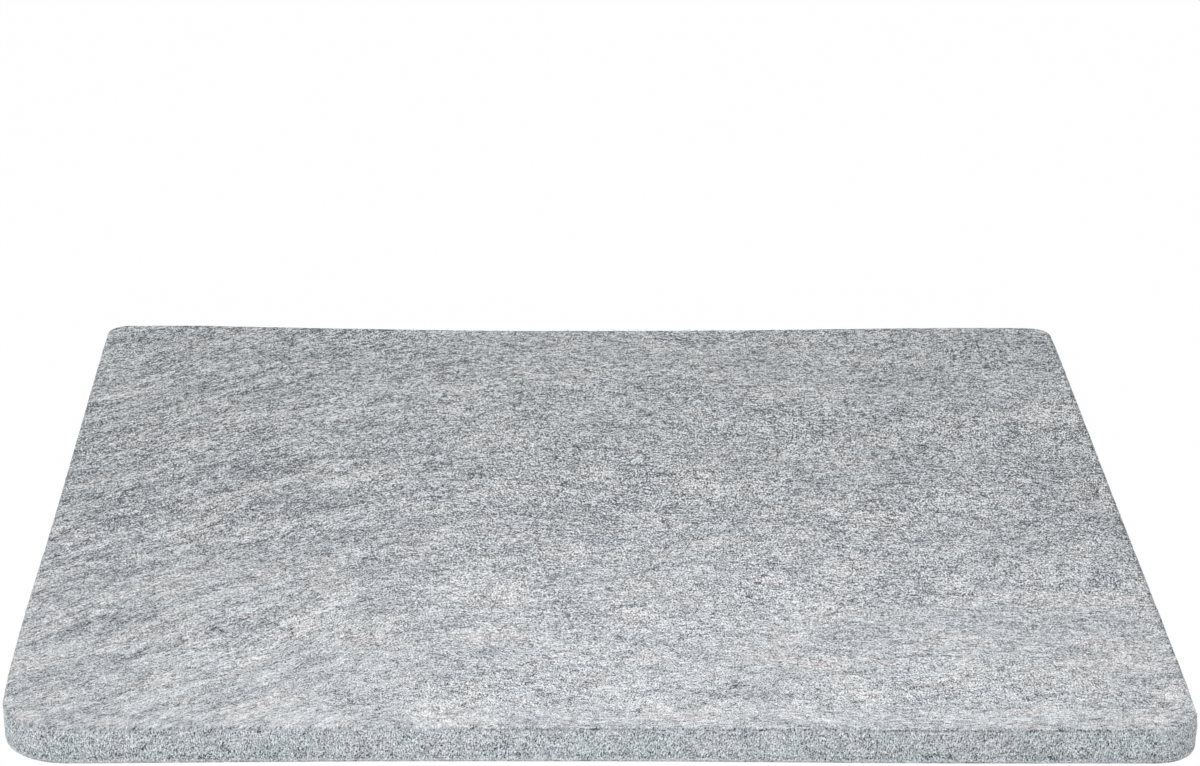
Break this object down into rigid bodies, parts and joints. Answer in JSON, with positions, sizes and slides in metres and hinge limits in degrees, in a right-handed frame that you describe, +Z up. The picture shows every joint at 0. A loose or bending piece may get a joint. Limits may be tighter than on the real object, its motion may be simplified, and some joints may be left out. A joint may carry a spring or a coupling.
{
  "type": "ironing pad",
  "caption": "Square pressing pad of thick grey wool felt with rounded corners and soft cut edges, laid flat on a table for ironing.",
  "frame": {"origin": "middle of the underside, on the surface that the pad lies on", "axes": "+Z up through the felt's thickness, -Y towards the user, +X to the user's right"},
  "size_m": [0.432, 0.432, 0.014],
  "materials": {
    "grey_wool_felt": "matte"
  },
  "bodies": {
    "root": {"wool_felt_slab": "grey_wool_felt"}
  },
  "joints": []
}
